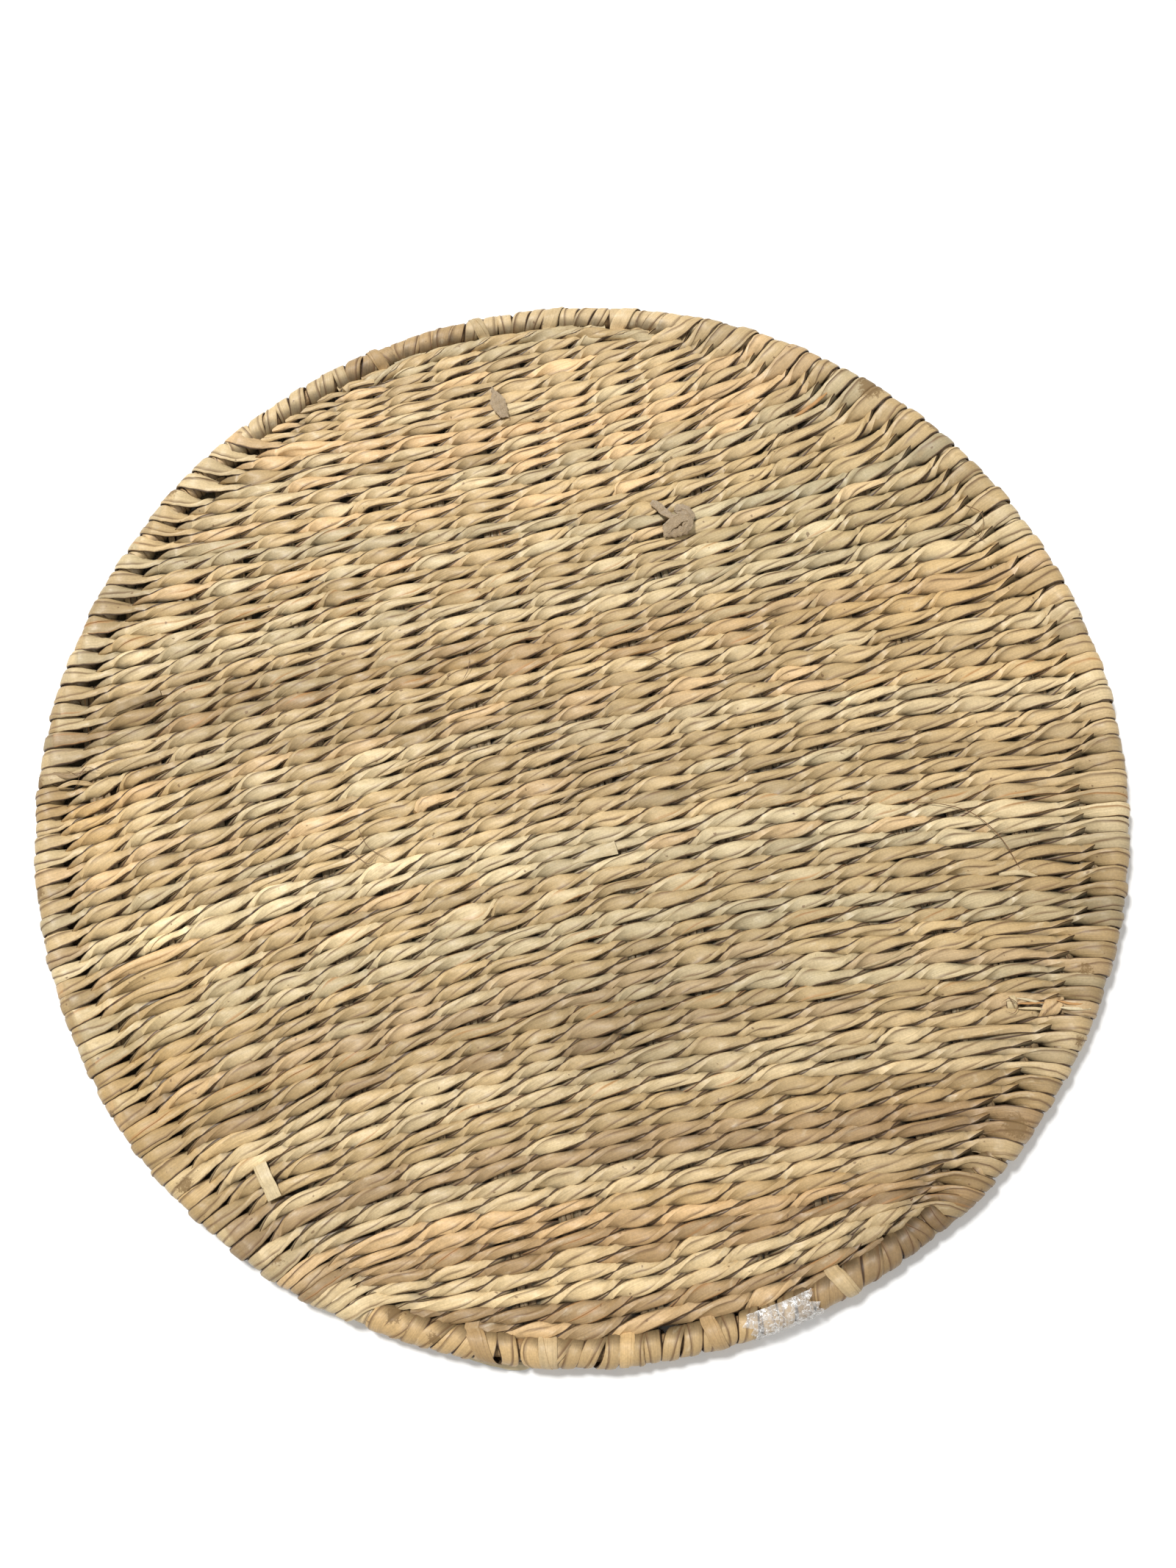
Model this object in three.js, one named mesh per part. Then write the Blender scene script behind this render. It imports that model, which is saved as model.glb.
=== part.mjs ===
// A round seat pad, hand-twined from dried leaf strips on a rigid hoop.
// Millimetres. +Z is up from the seat, +X runs along the rows and +Y along the stakes.
// The origin is the middle of the flat underside. Heights called "up" count from the middle
// of the pad's thickness, which is also the middle of the hoop's rod.
import * as THREE from "three";

// Driving dimensions.
const PAD_RADIUS = 200;
const GAP = 0.3;

// The hoop is a round rod bent to a ring, and leaf strip is wound round it all the way.
const ROD_RADIUS = 3.2;
const ROD_SIDES = 8;
const ROD_STEPS = 72;
const WRAP_OUTER = 5;
const WRAP_INNER = 3.7;
const WRAP_SIDES = 8;
const HOOP_RADIUS = PAD_RADIUS - WRAP_OUTER;
const MIDDLE_HEIGHT = WRAP_OUTER;

// A stake is a flat bundle of strips that crosses the pad from the far rim to the near rim.
const STAKES = 18;
const STAKE_SPACING = 20.5;
const STAKE_WIDTH = 8;
const STAKE_THICKNESS = 1.8;
const STAKE_LEAN = 0.03;
const STAKE_END_ROOM = 4.2;

// A course is one pair of strips, woven out along one row and back along the next. One layer
// of it lies above the stakes and one below, and they join round the hoop at both ends.
const COURSES = 36;
const COURSE_GAP = 0.7;
const STRAND_THICKNESS = 1.7;
const STRAND_INNER = STAKE_THICKNESS / 2 + GAP;
const STRAND_OUTER = STRAND_INNER + STRAND_THICKNESS;
const ROW_STEPS = 10;
const SHOULDER = 14;
const WRAP_START = 3;

// Where rows run almost along the hoop they stop inside it, and a binding covers it alone.
// Each pair counts those courses on the left and on the right.
const FAR_BOUND = [4, 1];
const NEAR_BOUND = [1, 2];
const BINDING_STEPS = 14;
const BOUND_END_RADIUS = HOOP_RADIUS - WRAP_OUTER - GAP;
const STAKE_END_RADIUS = BOUND_END_RADIUS - STAKE_END_ROOM;
const COURSE_PITCH = (2 * BOUND_END_RADIUS) / COURSES;

// How the rows bow, in shares of the pad's radius. Each line holds the factors of x, x squared
// and x cubed: first alone, then times the row's level, then times the level squared.
const ROW_BOW = [
  [-0.047, -0.081, 0.005],
  [0, 0.173, 0.025],
  [-0.043, 0.231, 0.173],
];

// The rows nearest to the far rim and the near rim arch along it instead. The arches are
// factors of x squared, and they take over from this level outwards.
const ARCH_LEVEL = 0.72;
const FAR_ARCH = -0.12;
const NEAR_ARCH = 0.35;

// Things that were added by hand: a tab of jute, a knot of jute twine and a patch of tape.
const TAB = { x: -2.5, y: 158, width: 4, length: 13, thickness: 0.9 };
const KNOT = { x: 57, y: 92, long: 7, wide: 5.5, high: 2.4 };
const TAPE = { from: -82, to: -76, steps: 3, thickness: 0.4 };

const STRAW = [0xcdb48a, 0xc4a97e, 0xd6c19a, 0xbfa67a, 0xc9b592, 0xb99d70];
const STAKE_COLOR = 0xb89b6c;
const ROD_COLOR = 0x9a7448;
const JUTE_COLOR = 0xb39a72;
const TAPE_COLOR = 0xd9d4c6;

const pad = new THREE.Group();

function addPiece(name, geometry, color, roughness = 0.6) {
  const material = new THREE.MeshStandardMaterial({ color, roughness, metalness: 0 });
  const mesh = new THREE.Mesh(geometry, material);
  mesh.name = name;
  pad.add(mesh);
  return mesh;
}

const numbered = (word, index) => word + "_" + String(index + 1).padStart(2, "0");

// ---- The curves that the rows follow ----

// y of the row that crosses the middle of the pad at y = level.
function rowY(level, x) {
  const u = x / PAD_RADIUS;
  const c = level / PAD_RADIUS;
  const [alone, spread, lean] = ROW_BOW.map(([a, b, d]) => u * (a + u * (b + u * d)));
  const bow = alone + c * (spread + c * lean);
  const arch = (c > 0 ? FAR_ARCH : NEAR_ARCH) * u * u;
  const share = THREE.MathUtils.smoothstep(Math.abs(c), ARCH_LEVEL, 1);
  return PAD_RADIUS * (c + THREE.MathUtils.lerp(bow, arch, share));
}

// x at which a row reaches a radius, on the side given by the sign, found by halving.
function rowEnd(level, side, radius) {
  let inside = 0;
  let outside = side * radius;
  for (let i = 0; i < 40; i++) {
    const middle = (inside + outside) / 2;
    if (Math.hypot(middle, rowY(level, middle)) < radius) inside = middle;
    else outside = middle;
  }
  return inside;
}

// ---- The hoop and what is wound round it ----

class HoopArc extends THREE.Curve {
  constructor(from, to) {
    super();
    this.from = from;
    this.to = to;
  }
  getPoint(t, target = new THREE.Vector3()) {
    const angle = THREE.MathUtils.lerp(this.from, this.to, t);
    return target.set(Math.cos(angle), Math.sin(angle), 0).multiplyScalar(HOOP_RADIUS);
  }
}

// A corner of the eight-sided wrap, as its distance out from the rod's middle and up from it.
// Corner 0 is the upper one on the outside, and the count goes over the top.
function wrapCorner(apothem, corner) {
  const half = Math.PI / WRAP_SIDES;
  const reach = apothem / Math.cos(half);
  const angle = half * (1 + 2 * corner);
  return { out: reach * Math.cos(angle), up: reach * Math.sin(angle) };
}

const wrapCorners = (apothem, corners) => corners.map((i) => wrapCorner(apothem, i));

// Sweeps an outline along the hoop between two angles. The sweep's own first axis points down
// and its second one inwards.
function hoopSweep(outline, hole, from, to, steps) {
  const flat = (points) => points.map(({ out, up }) => new THREE.Vector2(-up, -out)).reverse();
  const shape = new THREE.Shape(flat(outline));
  if (hole) shape.holes.push(new THREE.Path(flat(hole)));
  const extrudePath = new HoopArc(from, to);
  const geometry = new THREE.ExtrudeGeometry(shape, { extrudePath, steps, bevelEnabled: false });
  return geometry.translate(0, 0, MIDDLE_HEIGHT);
}

function addHoop() {
  const rod = new THREE.TorusGeometry(HOOP_RADIUS, ROD_RADIUS, ROD_SIDES, ROD_STEPS);
  addPiece("rim_hoop", rod.translate(0, 0, MIDDLE_HEIGHT), ROD_COLOR);
}

// Covers the hoop between the outermost courses that still go round it.
function addBinding(name, level, [left, right], inwards) {
  const angle = (side, count) => {
    const edge = level + inwards * count * COURSE_PITCH;
    const x = rowEnd(edge, side, BOUND_END_RADIUS);
    return Math.atan2(rowY(edge, x), x);
  };
  const ends = [angle(-1, left), angle(1, right)].sort((a, b) => a - b);
  const all = [...Array(WRAP_SIDES).keys()];
  const outline = wrapCorners(WRAP_OUTER, all);
  const hole = wrapCorners(WRAP_INNER, all);
  addPiece(name, hoopSweep(outline, hole, ...ends, BINDING_STEPS), STRAW[0]);
}

// ---- The stakes ----

function addStake(index) {
  const x = (index - (STAKES - 1) / 2) * STAKE_SPACING;
  const reach = Math.abs(x) + STAKE_WIDTH / 2;
  const lean = STAKE_LEAN * Math.sqrt(STAKE_END_RADIUS ** 2 - reach ** 2);
  const length = 2 * Math.sqrt(STAKE_END_RADIUS ** 2 - (reach + lean) ** 2);
  const geometry = new THREE.BoxGeometry(STAKE_WIDTH, length, STAKE_THICKNESS);
  const stake = addPiece(numbered("stake", index), geometry, STAKE_COLOR, 0.7);
  stake.position.set(x, 0, MIDDLE_HEIGHT);
  stake.rotation.z = Math.atan(STAKE_LEAN);
}

// ---- The courses of weft ----

// Stations of the upper layer of a course along one of its edges, from left to right. bound
// says for each end whether the course stops inside the binding.
function upperStations(level, bound) {
  const onRow = (x, up) => [x, rowY(level, x), up];
  const turn = (i) => {
    const side = i ? 1 : -1;
    if (bound[i]) {
      const x = rowEnd(level, side, BOUND_END_RADIUS);
      const wall = Math.min((STRAND_THICKNESS * BOUND_END_RADIUS) / Math.abs(x), Math.abs(x) / 4);
      return [{ outer: onRow(x, STRAND_OUTER), inner: onRow(x - side * wall, STRAND_INNER) }];
    }
    const crossing = rowEnd(level, side, HOOP_RADIUS);
    const place = ({ out, up }) => {
      if (out < 0) return onRow(rowEnd(level, side, HOOP_RADIUS + out), up);
      const share = 1 + out / HOOP_RADIUS;
      return [crossing * share, rowY(level, crossing) * share, up];
    };
    return [0, 1, 2].map((corner) => ({
      outer: place(wrapCorner(WRAP_OUTER, corner)),
      inner: place(wrapCorner(WRAP_INNER, corner)),
    }));
  };
  // A row that goes round the hoop climbs to it over the last stretch.
  const climb = (x, start, finish) => {
    if (bound[x < 0 ? 0 : 1]) return finish;
    const inside = HOOP_RADIUS - Math.hypot(x, rowY(level, x));
    const share = THREE.MathUtils.clamp((inside + start.out) / (SHOULDER + start.out), 0, 1);
    return THREE.MathUtils.lerp(start.up, finish, share);
  };
  const [left, right] = bound.map((stops, i) =>
    rowEnd(level, i ? 1 : -1, stops ? BOUND_END_RADIUS : HOOP_RADIUS - WRAP_START));
  const row = [];
  for (let k = bound[0] ? 1 : 0; k <= (bound[1] ? ROW_STEPS - 1 : ROW_STEPS); k++) {
    const x = THREE.MathUtils.lerp(left, right, (1 - Math.cos((Math.PI * k) / ROW_STEPS)) / 2);
    row.push({
      outer: onRow(x, climb(x, wrapCorner(WRAP_OUTER, 2), STRAND_OUTER)),
      inner: onRow(x, climb(x, wrapCorner(WRAP_INNER, 2), STRAND_INNER)),
    });
  }
  return [...turn(0), ...row, ...turn(1).reverse()];
}

// A closed band: over the stakes along the upper stations and back below them.
function bandGeometry(farEdge, nearEdge) {
  const down = ([x, y, up]) => [x, y, -up];
  const around = (edge) => [
    ...edge,
    ...edge.toReversed().map(({ outer, inner }) => ({ outer: down(outer), inner: down(inner) })),
  ];
  const [far, near] = [around(farEdge), around(nearEdge)];
  const positions = far.flatMap((station, i) => [
    ...station.outer,
    ...near[i].outer,
    ...near[i].inner,
    ...station.inner,
  ]);
  const faces = far.flatMap((_, i) => {
    const [here, next] = [4 * i, 4 * ((i + 1) % far.length)];
    return [0, 1, 2, 3].flatMap((a) => {
      const b = (a + 1) % 4;
      return [here + a, here + b, next + b, here + a, next + b, next + a];
    });
  });
  const geometry = new THREE.BufferGeometry();
  geometry.setAttribute("position", new THREE.Float32BufferAttribute(positions, 3));
  geometry.setIndex(faces);
  geometry.computeVertexNormals();
  return geometry.translate(0, 0, MIDDLE_HEIGHT);
}

function addCourse(index) {
  const top = BOUND_END_RADIUS - index * COURSE_PITCH;
  const bound = [0, 1].map((i) => index < FAR_BOUND[i] || index >= COURSES - NEAR_BOUND[i]);
  const [farEdge, nearEdge] = [COURSE_GAP / 2, COURSE_PITCH - COURSE_GAP / 2].map((below) =>
    upperStations(top - below, bound));
  const color = STRAW[(index * 5 + 1) % STRAW.length];
  addPiece(numbered("weft_course", index), bandGeometry(farEdge, nearEdge), color);
}

// ---- Things added by hand ----

const WEAVE_TOP = MIDDLE_HEIGHT + STRAND_OUTER + GAP;

// A pointed tab that lies on the rows, with its length along the stakes.
function addJuteTab() {
  const { x, y, width, length, thickness } = TAB;
  const shape = new THREE.Shape([
    new THREE.Vector2(-width / 2, -length / 2),
    new THREE.Vector2(width / 2, -length / 2),
    new THREE.Vector2(width / 2, length / 4),
    new THREE.Vector2(0, length / 2),
    new THREE.Vector2(-width / 2, length / 4),
  ]);
  const geometry = new THREE.ExtrudeGeometry(shape, { depth: thickness, bevelEnabled: false });
  addPiece("jute_tab", geometry, JUTE_COLOR, 0.9).position.set(x, y, WEAVE_TOP);
}

function addTwineKnot() {
  const knot = addPiece("twine_knot", new THREE.IcosahedronGeometry(1, 1), JUTE_COLOR, 0.9);
  knot.scale.set(KNOT.long, KNOT.wide, KNOT.high);
  knot.position.set(KNOT.x, KNOT.y, WEAVE_TOP + KNOT.high);
}

// Clear tape, bent over the top and the outside of the near binding.
function addTape() {
  const over = [-1, 0, 1, 2];
  const outer = wrapCorners(WRAP_OUTER + GAP + TAPE.thickness, over);
  const inner = wrapCorners(WRAP_OUTER + GAP, over).reverse();
  const [from, to] = [TAPE.from, TAPE.to].map(THREE.MathUtils.degToRad);
  addPiece("tape_patch", hoopSweep([...outer, ...inner], null, from, to, TAPE.steps), TAPE_COLOR, 0.2);
}

addHoop();
addBinding("far_binding", BOUND_END_RADIUS, FAR_BOUND, -1);
addBinding("near_binding", -BOUND_END_RADIUS, NEAR_BOUND, 1);
for (let index = 0; index < STAKES; index++) addStake(index);
for (let index = 0; index < COURSES; index++) addCourse(index);
addJuteTab();
addTwineKnot();
addTape();

export default pad;
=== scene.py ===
import math

import bpy
import numpy as np
from mathutils import Matrix, Vector


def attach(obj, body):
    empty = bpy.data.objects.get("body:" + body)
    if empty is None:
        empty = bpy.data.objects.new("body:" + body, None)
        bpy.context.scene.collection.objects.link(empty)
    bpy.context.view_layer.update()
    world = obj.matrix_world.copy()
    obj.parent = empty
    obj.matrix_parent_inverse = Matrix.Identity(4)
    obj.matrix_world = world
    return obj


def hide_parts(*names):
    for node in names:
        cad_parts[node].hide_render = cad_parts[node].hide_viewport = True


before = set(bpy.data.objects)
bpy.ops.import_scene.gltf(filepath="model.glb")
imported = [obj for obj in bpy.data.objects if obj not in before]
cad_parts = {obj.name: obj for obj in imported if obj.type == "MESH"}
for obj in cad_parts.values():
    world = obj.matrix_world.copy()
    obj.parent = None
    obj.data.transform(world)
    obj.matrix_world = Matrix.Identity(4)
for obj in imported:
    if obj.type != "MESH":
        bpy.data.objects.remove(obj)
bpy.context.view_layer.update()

# Lengths here are millimetres in the CAD model's own frame: +X along the rows, +Y along the
# stakes, +Z up. add_piece() turns them into metres.
METRES = 0.001
SEED = 838

# Driving dimensions, the same as the CAD model's.
PAD_RADIUS = 200.0
ROD_RADIUS = 3.2
WRAP_OUTER = 5.0
HOOP_RADIUS = PAD_RADIUS - WRAP_OUTER
MIDDLE_HEIGHT = WRAP_OUTER
GAP = 0.3
BOUND_END_RADIUS = HOOP_RADIUS - WRAP_OUTER - GAP
STAKES = 18
STAKE_SPACING = 20.5
STAKE_WIDTH = 8.0
STAKE_LEAN = 0.03
STAKE_END_RADIUS = BOUND_END_RADIUS - 4.2
COURSES = 36
COURSE_PITCH = 2 * BOUND_END_RADIUS / COURSES
ROW_PITCH = COURSE_PITCH / 2
FAR_BOUND = (4, 1)
NEAR_BOUND = (1, 2)
ROW_BOW = ((-0.047, -0.081, 0.005), (0, 0.173, 0.025), (-0.043, 0.231, 0.173))
ARCH_LEVEL = 0.72
FAR_ARCH = -0.12
NEAR_ARCH = 0.35

# Twining: two plies of a row turn about each other, half a turn from stake to stake. Each is
# a half-round of a rope that opens round the stakes. Reach is from the row's middle line to a
# ply's inner face, and dome is how far its outer face stands off that.
STEP = 1.6
STAKE_REACH = 1.3
STAKE_DOME = 1.35
CROSSING_REACH = 0.05
CROSSING_DOME = 3.05
CROSSING_SHARE = 0.8
PETAL_FILL = 1.09
PETAL_LEAN = 0.13
# How dark the edge line, a brown line with a painted shadow beside it, is at a crossing.
EDGE_AT_CROSSING = 0.92
CROWN_CLEARANCE = 0.6
ROLL_EASE = 0.18
# Painted shade deep between the rows: how dark at most, and over what height it fades.
CREVICE_SHADE_DARK = 0.92
CREVICE_SHADE_RISE = 2.05
REST_LIFT = 0.05
ROUND_POWER = 3.0
SQUARE_POWER = 8.0
HOOP_POWER = 4.5

# A strip's section, in half widths. The outer face has a low part and a high part that meet at
# a fold, with a lip beside each edge, and the inner face has painted shade of its own.
LIP = 0.004
OUTER_LOW = np.array([0, 0, 0.16, 0.55, 1])
OUTER_HIGH = np.array([0, 0.45, 0.84, 1, 1])
FOLD_AT = len(OUTER_LOW)
OUTER = FOLD_AT + len(OUTER_HIGH)
INNER = np.array([0.8, 0.3, -0.3, -0.8])
INNER_PAINTED_SHADE = np.array([0.5, 0.32, 0.32, 0.5])
SECTION = OUTER + len(INNER)
FOLD_EDGE = 0.025
FOLD_REACH = 0.68
FOLD_CREASE = 0.5

# Row ends: the upper ply goes over the hoop and comes back as the lower one.
END_ROOM = 18.0
END_CROSSING = (11.0, 25.0)
END_FLAT = 0.36
END_FLAT_PHASE = 0.06
END_UNDER_WIDE = 0.7
END_TONES = (0.76, 1.04)
END_BEND = 26.0
END_BEND_SHARE = 0.5
END_CROWDING = 45.0
END_NARROWING = 0.2
END_LAPS = (4.3, 5.3)
HOOP_DOME = 0.6
ARC_STEPS = 11
TUCK_RADIUS = 191.2
TUCK_LIFT = 0.4

# Slow waves of the rows: how much, wave length along the rows and across them, turn.
WANDER = (
    (0.50, 95, 46, 0.3),
    (0.35, 61, 33, 1.9),
    (0.25, 41, 70, 4.1),
    (0.20, 150, 23, 2.2),
)

# Gaps where neighbouring rows stand apart: middle, half length, how far each side moves.
PARTINGS = (
    ((161, -65), 17, 1.6),
    ((-176, 31), 12, 1.3),
    ((-150, 96), 13, 1.0),
    ((-173, 62), 10, 0.9),
    ((158, -95), 8, 0.9),
    ((141, -120), 8, 0.9),
    ((-8, 148), 10, 0.7),
    ((-12, 47), 8, 0.8),
)

# Leaf colours, linear, with how common each is.
LEAF_TINTS = (
    ((0.59, 0.43, 0.22), 5),
    ((0.66, 0.51, 0.285), 4),
    ((0.57, 0.45, 0.255), 4),
    ((0.52, 0.37, 0.18), 4),
    ((0.65, 0.45, 0.23), 3),
    ((0.73, 0.58, 0.335), 2),
    ((0.55, 0.39, 0.205), 2),
    ((0.41, 0.28, 0.14), 1),
)
TINT_SHARES = np.array([weight for _, weight in LEAF_TINTS]) / sum(w for _, w in LEAF_TINTS)
MAIN_TINT_WEIGHT = 45

# Places where the leaf differs from the rest: middle, reach, colour factor.
TINTED_PLACES = (
    ((-125, 50), (85, 15), (0.67, 0.62, 0.55)),
    ((100, 85), (62, 26), (0.95, 1.01, 1.06)),
    ((-178, 18), (26, 18), (1.12, 1.02, 0.88)),
    ((20, 46), (85, 11), (1.05, 0.98, 0.87)),
    ((30, 52), (80, 20), (0.87, 0.86, 0.85)),
    ((150, 45), (45, 18), (1.12, 1.05, 0.94)),
    ((0, 140), (150, 45), (1.06, 1.03, 1.00)),
    ((70, -65), (70, 34), (0.88, 0.90, 0.92)),
    ((165, -75), (32, 40), (0.94, 0.91, 0.86)),
    ((105, -145), (58, 28), (0.86, 0.80, 0.73)),
    ((100, -172), (36, 17), (0.58, 0.55, 0.50)),
    ((174, -108), (16, 36), (0.72, 0.70, 0.67)),
    ((0, -100), (38, 24), (0.70, 0.69, 0.67)),
    ((0, 5), (36, 24), (0.89, 0.88, 0.88)),
    ((-50, 50), (26, 20), (0.93, 0.91, 0.88)),
    ((-100, -95), (38, 24), (0.90, 0.88, 0.85)),
    ((165, -15), (35, 45), (1.01, 1.00, 1.00)),
    ((100, -80), (40, 28), (1.12, 1.12, 1.12)),
    ((-150, -40), (35, 30), (1.12, 1.12, 1.11)),
    ((-60, -12), (34, 32), (1.11, 1.11, 1.11)),
    ((55, 150), (40, 25), (1.10, 1.11, 1.12)),
    ((-20, -165), (95, 25), (1.00, 0.93, 0.84)),
    ((-165, -95), (30, 50), (1.02, 0.95, 0.82)),
)

WOUND_STEPS = 20
WOUND_DOME = 0.7
STAKE_STRIPS = 3
STAKE_STRIP_HALF = 1.42
STAKE_STRIP_DOME = 0.55
# How much of the painted shade deep between the rows the stakes take.
STAKE_SHADED = 0.72

# The last far row lies along the binding, between these angles.
FAR_BORDER_RADIUS = 187.2
FAR_BORDER_ARC = (math.radians(108.5), math.radians(67.5))

# Strips over the bindings: angle on the hoop in degrees, slant, half width, reach inwards.
CROSSING_WRAPS = (
    (-109.4, 3.4, 2.6, 4),
    (-102.0, 0.5, 2.8, 3),
    (-94.2, -0.6, 2.3, 3),
    (-86.2, 1.2, 2.3, 3),
    (-73.0, 1.4, 2.4, 3),
    (74.5, -2.6, 2.8, 3),
    (83.0, -2.2, 2.4, 3),
    (91.0, 1.5, 2.2, 3),
    (104.0, 1.2, 2.2, 3),
)

BINDING_TINTS = (
    ((0.55, 0.38, 0.18), 3),
    ((0.62, 0.46, 0.25), 3),
    ((0.42, 0.28, 0.13), 2),
    ((0.52, 0.39, 0.21), 2),
)
PALE = (((0.70, 0.60, 0.39), 1),)
FAIR = (((0.60, 0.48, 0.28), 1),)
ORANGE = (((0.52, 0.28, 0.10), 1), ((0.60, 0.36, 0.15), 1))
TAN = (((0.48, 0.35, 0.18), 1),)
DULL = (((0.30, 0.21, 0.11), 1),)

# Leaf ends that stand out of the weave: points, half width, colours.
LOOSE_ENDS = (
    (((-128, -116, 7.4), (-126.5, -120, 8.6), (-124.5, -125, 8.8), (-123.5, -128.5, 8.2)),
     2.4, FAIR, 0),
    (((-7, -34.2, 7.0), (-1, -32.6, 8.1), (5, -31.4, 8.5), (11.5, -30.6, 8.5)), (0.7, 2.5), FAIR, 0),
    (((-166, 57, 7.9), (-158, 58.5, 8.7), (-148, 60.5, 8.6)), 1.5, TAN, 0),
    (((143, -63.5, 6.2), (150, -64.5, 7.2), (156, -66.3, 6.4)), 1.7, FAIR, 0),
    (((154, -64.2, 6.0), (160, -65.4, 7.0), (166, -66.6, 6.2)), 1.9, TAN, 0),
    (((-71, -185, 1.2), (-66, -188.5, 1.0), (-58, -192.2, 0.9), (-50, -194.4, 1.0),
      (-42, -192.5, 1.4)), 1.3, PALE, 0.1),
    (((-70, 12, 7.6), (-61, 14, 8.3), (-52, 16.4, 7.6)), 0.6, TAN, 0.2),
    (((-6, -10.5, 7.8), (-2, -8.6, 8.4), (3, -6.4, 7.9)), 0.5, DULL, 0.3),
    (((112, 128, 7.6), (120, 131.5, 8.4), (127, 136, 7.8)), 0.7, ORANGE, 0.2),
    (((62, 62, 7.6), (72, 66, 8.4), (80, 70, 7.6)), 1.0, TAN, 0.2),
    (((88, -88, 7.6), (98, -86.5, 8.3), (106, -84, 7.6)), 0.6, TAN, 0.2),
    (((-145, -44, 7.6), (-137, -41.5, 8.3), (-128, -38.5, 7.6)), 0.7, TAN, 0.2),
    (((137, -107.5, 7.8), (141, -109, 8.4), (146, -111.4, 7.8)), 0.5, PALE, 0.3),
    (((137, -109.4, 7.8), (141, -110, 8.6), (146, -110.6, 7.8)), 0.4, ORANGE, 0.3),
    (((136.5, -111, 7.8), (141, -111.7, 8.4), (146, -113, 7.8)), 0.5, FAIR, 0.3),
    (((150, -110.6, 8.2), (154, -112.6, 9.6), (158.5, -113.4, 10.4)), 0.45, ORANGE, 0.3),
    (((150, -113, 8.2), (154.5, -114.4, 9.8), (159.5, -115.4, 10.5)), 0.6, PALE, 0.3),
    (((151, -114.8, 8.2), (155, -116.6, 9.6), (158.5, -118.2, 10.4)), 0.5, DULL, 0.3),
    (((-178, 34, 9.0), (-184, 33, 10.2), (-190, 35.5, 9.8)), 1.0, DULL, 0.2),
    (((-176, 29, 7.5), (-183, 30.5, 9.6), (-189, 29.4, 9.6)), 0.9, TAN, 0.2),
)

# Short strips round a row: middle, slant, half width.
SPLICES = (
    ((135.0, -108.6), 0.3, 1.9),
    ((147.8, -112.4), 2.4, 3.2),
)

# Stray fibres: points and radius.
FIBRES = (
    (((120, -34, 8.4), (129, -36.5, 9.1), (139, -42, 9.0), (146, -52, 9.0), (150, -64, 8.4)), 0.16),
    (((166, 78, 8.6), (172, 72, 9.4), (170, 64, 9.2), (163, 61, 8.6)), 0.12),
    (((160, 70, 8.5), (166, 68, 9.2), (171, 60, 8.6)), 0.1),
    (((-92, -10, 8.5), (-84, -14, 9.2), (-78, -20, 8.8), (-74, -17, 8.5)), 0.12),
    (((-80, -6, 8.5), (-77, -14, 9.0), (-70, -20, 8.5)), 0.1),
    (((30, 40, 8.5), (37, 39, 9.3), (43, 35, 8.6)), 0.13),
    (((-30, 52, 8.5), (-31, 47, 9.3), (-34, 43, 8.6)), 0.13),
    (((131.3, -108, 8.6), (134, -107.2, 9.6), (136.2, -109.6, 9.6), (134.4, -112.2, 9.2),
      (131.6, -111, 8.6)), 0.13),
    (((-186, 36, 9.6), (-180, 33, 11.2), (-177, 37, 9.4)), 0.12),
    (((-182, 29, 9.6), (-178, 35, 10.6), (-172, 33, 8.6)), 0.1),
)

# The jute tape end and the knot of jute tape, where the CAD model has them.
JUTE_TAB = (-2.5, 158.0, 8.3)
KNOT = (57.0, 92.0, 8.6)
KNOT_TAPES = (
    (((-7.0, 10.4, 0.1), (-5.6, 7.8, 0.9), (-3.2, 3.8, 1.7), (-0.6, 0.6, 2.4), (2.2, -1.2, 1.6)),
     ((0.3, 0, 1), (-0.4, 0.1, 1), (0.5, 0, 1), (-0.2, 0.2, 1)), 1.6),
    (((-5.4, -5.4, 0.2), (-3.6, -4.6, 0.9), (-0.6, -5.2, 1.2), (3.4, -4.4, 1.4), (6.0, -0.8, 1.5),
      (5.6, 2.8, 1.8), (3.0, 4.4, 2.2), (0.6, 2.8, 2.4)),
     ((-0.3, -0.5, 1), (0, -0.6, 1), (0.7, -0.3, 1), (0.5, 0.5, 1)), 1.7),
    (((6.2, 1.6, 0.9), (3.6, 0.4, 2.6), (0.4, -0.8, 3.0), (-2.4, -2.2, 2.2), (-5.0, -3.2, 0.7)),
     ((0.5, 0.2, 0.8), (-0.2, 0, 1), (-0.5, -0.2, 0.8)), 2.2),
    (((1.0, 3.6, 1.4), (3.4, 1.4, 2.5), (4.6, -1.6, 2.2), (3.2, -4.0, 1.2)),
     ((0.5, 0.5, 0.8), (0.2, -0.1, 1), (0.6, -0.5, 0.8)), 1.7),
)
TAPE_ARC = (-82.4, -75.6)

STAIN_DEPTH = 0.66

# Brown stains on the rim: place, reach, strength.
STAINS = (
    ((-137, 145), 8, 1.0),
    ((144, 134), 12, 1.0),
    ((164, 113), 7, 0.9),
    ((-197, 33), 7, 1.0),
    ((-198, -9), 5, 1.0),
    ((-177, -92), 5, 0.9),
    ((-153, -119), 6, 1.0),
    ((-124, -148), 5, 0.9),
    ((-88, -171), 6, 1.0),
    ((-76, -180), 5, 1.0),
    ((162, -102), 6, 0.8),
    ((125, -148), 9, 1.0),
    ((153, -125), 5, 0.9),
    ((197, 18), 5, 0.6),
)


def dice(*key):
    """A generator of its own for each piece, so that no piece changes another's draws."""
    return np.random.default_rng([SEED, *key])


def smooth(t):
    t = np.clip(t, 0, 1)
    return t * t * (3 - 2 * t)


def unit(vectors):
    return vectors / np.linalg.norm(vectors, axis=-1, keepdims=True)


def running(points):
    """How far along a line each of its points is."""
    return np.r_[0, np.cumsum(np.linalg.norm(np.diff(points, axis=0), axis=1))]


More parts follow.
